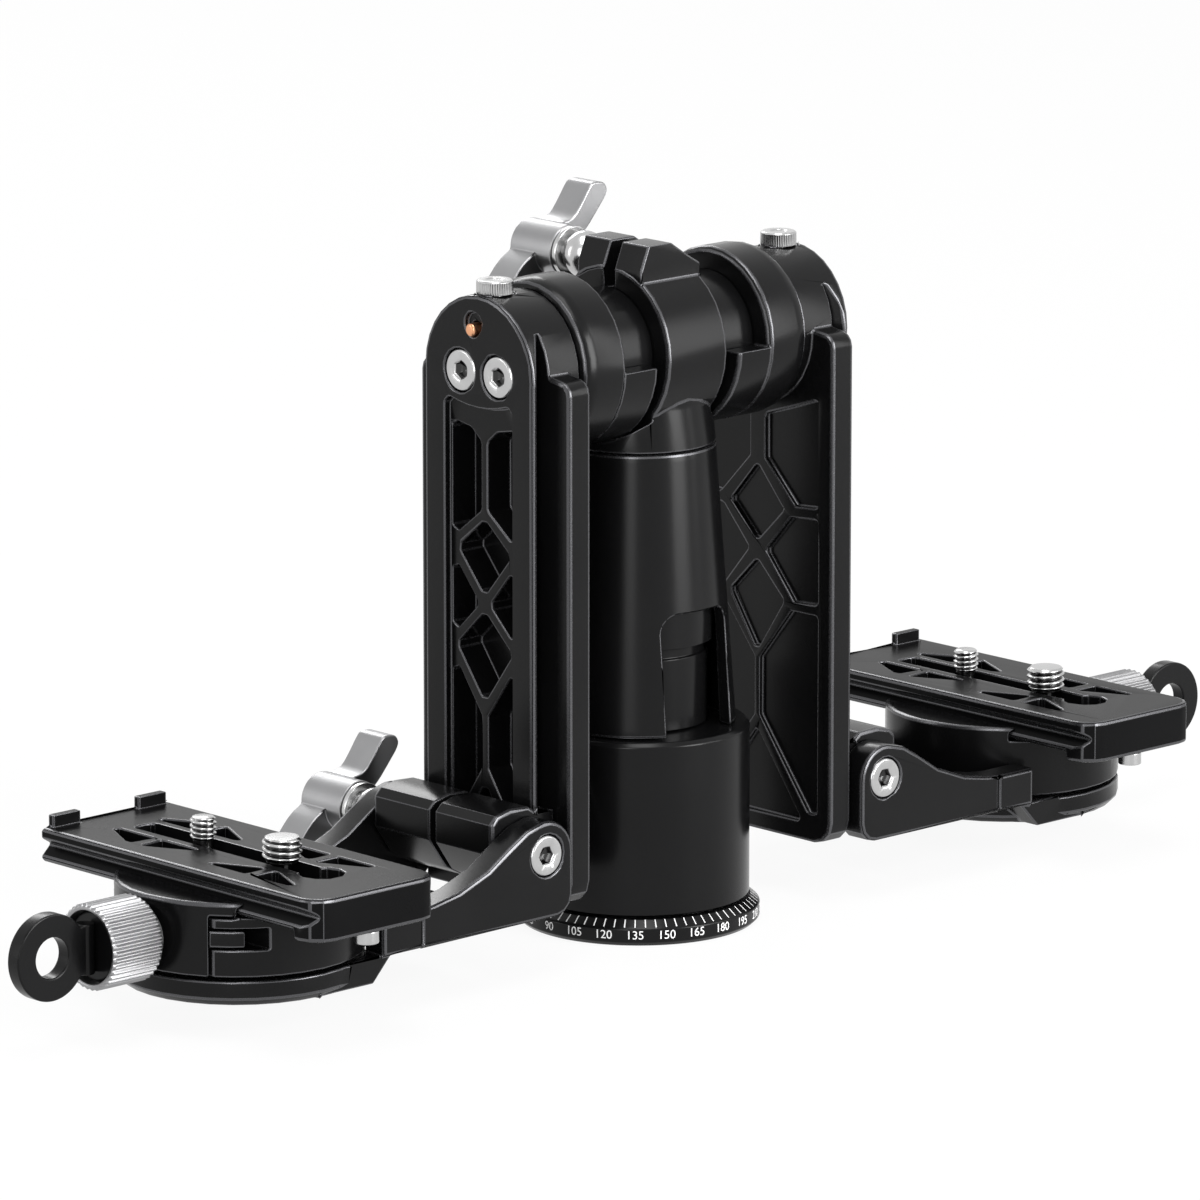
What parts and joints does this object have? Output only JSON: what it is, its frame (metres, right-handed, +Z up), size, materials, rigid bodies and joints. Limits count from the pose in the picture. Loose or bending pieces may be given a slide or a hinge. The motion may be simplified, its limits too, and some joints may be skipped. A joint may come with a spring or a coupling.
{
  "type": "dual arm gimbal tripod head",
  "caption": "Gimbal head with a panning post, a tilting yoke and side arms whose height-adjustable folding platforms carry quick-release camera plates.",
  "frame": {"origin": "middle of the base's underside, on the pan axis", "axes": "+Z up along the pan axis, +X along the tilt shaft, -Y towards the side of the post's window"},
  "size_m": [0.3994, 0.1014, 0.178],
  "materials": {
    "anodised_black": "satin black anodised with bright chamfers",
    "dial_black": "black anodised with white engraved marks",
    "satin_titanium": "satin titanium grey anodised",
    "bright_steel": "turned bright steel",
    "copper_pin": "turned copper alloy"
  },
  "bodies": {
    "base": {"base_plate": "anodised_black", "dial_ring": "dial_black", "pan_bearing_lower": "bright_steel", "pan_bearing_upper": "bright_steel"},
    "turret": {"pan_housing": "anodised_black", "inner_column": "anodised_black", "post": "anodised_black", "tilt_head": "anodised_black", "tilt_bush_left": "anodised_black", "tilt_bush_right": "anodised_black", "tilt_clamp_stud": "bright_steel", "tilt_clamp_washer": "bright_steel"},
    "tilt_lock": {"tilt_lever": "satin_titanium"},
    "yoke": {"tilt_shaft": "bright_steel", "hub_left": "anodised_black", "arm_left": "anodised_black", "hub_screw_front_left": "bright_steel", "hub_screw_back_left": "bright_steel", "top_button_left": "bright_steel", "stop_pin_left": "copper_pin", "hub_right": "anodised_black", "arm_right": "anodised_black", "hub_screw_front_right": "bright_steel", "hub_screw_back_right": "bright_steel", "top_button_right": "bright_steel", "stop_pin_right": "copper_pin"},
    "carriage_left": {"slider_left": "anodised_black"},
    "platform_left": {"bracket_left": "anodised_black", "hinge_bolt_left": "bright_steel", "hinge_washer_left": "bright_steel"},
    "hinge_lock_left": {"hinge_lever_left": "satin_titanium"},
    "clamp_left": {"clamp_body_left": "anodised_black", "clamp_pivot_left": "bright_steel"},
    "jaw_left": {"clamp_jaw_left": "anodised_black"},
    "knob_left": {"clamp_knob_left": "satin_titanium", "knob_cap_left": "anodised_black", "draw_screw_left": "bright_steel"},
    "ring_left": {"knob_ring_left": "anodised_black"},
    "plate_left": {"camera_plate_left": "anodised_black", "safety_pin_left": "bright_steel"},
    "quarter_left": {"screw_quarter_left": "bright_steel"},
    "three_eighths_left": {"screw_three_eighths_left": "bright_steel"},
    "carriage_right": {"slider_right": "anodised_black"},
    "platform_right": {"bracket_right": "anodised_black", "hinge_bolt_right": "bright_steel", "hinge_washer_right": "bright_steel"},
    "hinge_lock_right": {"hinge_lever_right": "satin_titanium"},
    "clamp_right": {"clamp_body_right": "anodised_black", "clamp_pivot_right": "bright_steel"},
    "jaw_right": {"clamp_jaw_right": "anodised_black"},
    "knob_right": {"clamp_knob_right": "satin_titanium", "knob_cap_right": "anodised_black", "draw_screw_right": "bright_steel"},
    "ring_right": {"knob_ring_right": "anodised_black"},
    "plate_right": {"camera_plate_right": "anodised_black", "safety_pin_right": "bright_steel"},
    "quarter_right": {"screw_quarter_right": "bright_steel"},
    "three_eighths_right": {"screw_three_eighths_right": "bright_steel"}
  },
  "joints": [
    {"name": "pan", "type": "hinge", "parent": "base", "child": "turret", "pos_m": [0, 0, 0.007], "axis": [0, 0, 1], "continuous": true},
    {"name": "tilt", "type": "hinge", "parent": "turret", "child": "yoke", "pos_m": [0, 0, 0.1433], "axis": [1, 0, 0], "range_deg": [-90, 90]},
    {"name": "tilt_lock_turn", "type": "hinge", "parent": "turret", "child": "tilt_lock", "pos_m": [0, 0.0245, 0.1633], "axis": [0, 1, 0], "continuous": true},
    {"name": "height_left", "type": "slide", "parent": "yoke", "child": "carriage_left", "axis": [0, 0, 1], "range_m": [0, 0.09]},
    {"name": "fold_left", "type": "hinge", "parent": "carriage_left", "child": "platform_left", "pos_m": [-0.0574, 0, 0.0305], "axis": [0, 1, 0], "range_deg": [0, 80]},
    {"name": "hinge_lock_turn_left", "type": "hinge", "parent": "platform_left", "child": "hinge_lock_left", "pos_m": [-0.0574, 0.0384, 0.0305], "axis": [0, 1, 0], "continuous": true},
    {"name": "clamp_swivel_left", "type": "hinge", "parent": "platform_left", "child": "clamp_left", "pos_m": [-0.1292, 0.0009, 0.015], "axis": [0, 0, 1], "range_deg": [-90, 0]},
    {"name": "jaw_slide_left", "type": "slide", "parent": "clamp_left", "child": "jaw_left", "axis": [-1, 0, 0], "range_m": [0, 0.003]},
    {"name": "knob_turn_left", "type": "hinge", "parent": "jaw_left", "child": "knob_left", "pos_m": [-0.1623, 0, 0.024], "axis": [-1, 0, 0], "range_deg": [0, 1080]},
    {"name": "ring_fold_left", "type": "hinge", "parent": "knob_left", "child": "ring_left", "pos_m": [-0.178, 0, 0.024], "axis": [0, 0, 1], "range_deg": [-75, 75]},
    {"name": "plate_slide_left", "type": "slide", "parent": "clamp_left", "child": "plate_left", "axis": [0, 1, 0], "range_m": [-0.01, 0.01]},
    {"name": "quarter_turn_left", "type": "hinge", "parent": "plate_left", "child": "quarter_left", "pos_m": [-0.1292, 0.0139, 0.0388], "axis": [0, 0, 1], "continuous": true},
    {"name": "three_eighths_turn_left", "type": "hinge", "parent": "plate_left", "child": "three_eighths_left", "pos_m": [-0.1292, -0.0144, 0.0388], "axis": [0, 0, 1], "continuous": true},
    {"name": "height_right", "type": "slide", "parent": "yoke", "child": "carriage_right", "axis": [0, 0, 1], "range_m": [0, 0.09]},
    {"name": "fold_right", "type": "hinge", "parent": "carriage_right", "child": "platform_right", "pos_m": [0.0574, 0, 0.0305], "axis": [0, -1, 0], "range_deg": [0, 80]},
    {"name": "hinge_lock_turn_right", "type": "hinge", "parent": "platform_right", "child": "hinge_lock_right", "pos_m": [0.0574, 0.0384, 0.0305], "axis": [0, 1, 0], "continuous": true},
    {"name": "clamp_swivel_right", "type": "hinge", "parent": "platform_right", "child": "clamp_right", "pos_m": [0.1292, 0.0009, 0.015], "axis": [0, 0, -1], "range_deg": [-90, 0]},
    {"name": "jaw_slide_right", "type": "slide", "parent": "clamp_right", "child": "jaw_right", "axis": [1, 0, 0], "range_m": [0, 0.003]},
    {"name": "knob_turn_right", "type": "hinge", "parent": "jaw_right", "child": "knob_right", "pos_m": [0.1623, 0, 0.024], "axis": [1, 0, 0], "range_deg": [0, 1080]},
    {"name": "ring_fold_right", "type": "hinge", "parent": "knob_right", "child": "ring_right", "pos_m": [0.178, 0, 0.024], "axis": [0, 0, 1], "range_deg": [-75, 75]},
    {"name": "plate_slide_right", "type": "slide", "parent": "clamp_right", "child": "plate_right", "axis": [0, 1, 0], "range_m": [-0.01, 0.01]},
    {"name": "quarter_turn_right", "type": "hinge", "parent": "plate_right", "child": "quarter_right", "pos_m": [0.1292, 0.0139, 0.0388], "axis": [0, 0, 1], "continuous": true},
    {"name": "three_eighths_turn_right", "type": "hinge", "parent": "plate_right", "child": "three_eighths_right", "pos_m": [0.1292, -0.0144, 0.0388], "axis": [0, 0, 1], "continuous": true}
  ],
  "couplings": [
    {"joint": "knob_turn_left", "follows": "jaw_slide_left", "rad_per_m": 6283.2},
    {"joint": "knob_turn_right", "follows": "jaw_slide_right", "rad_per_m": 6283.2}
  ]
}
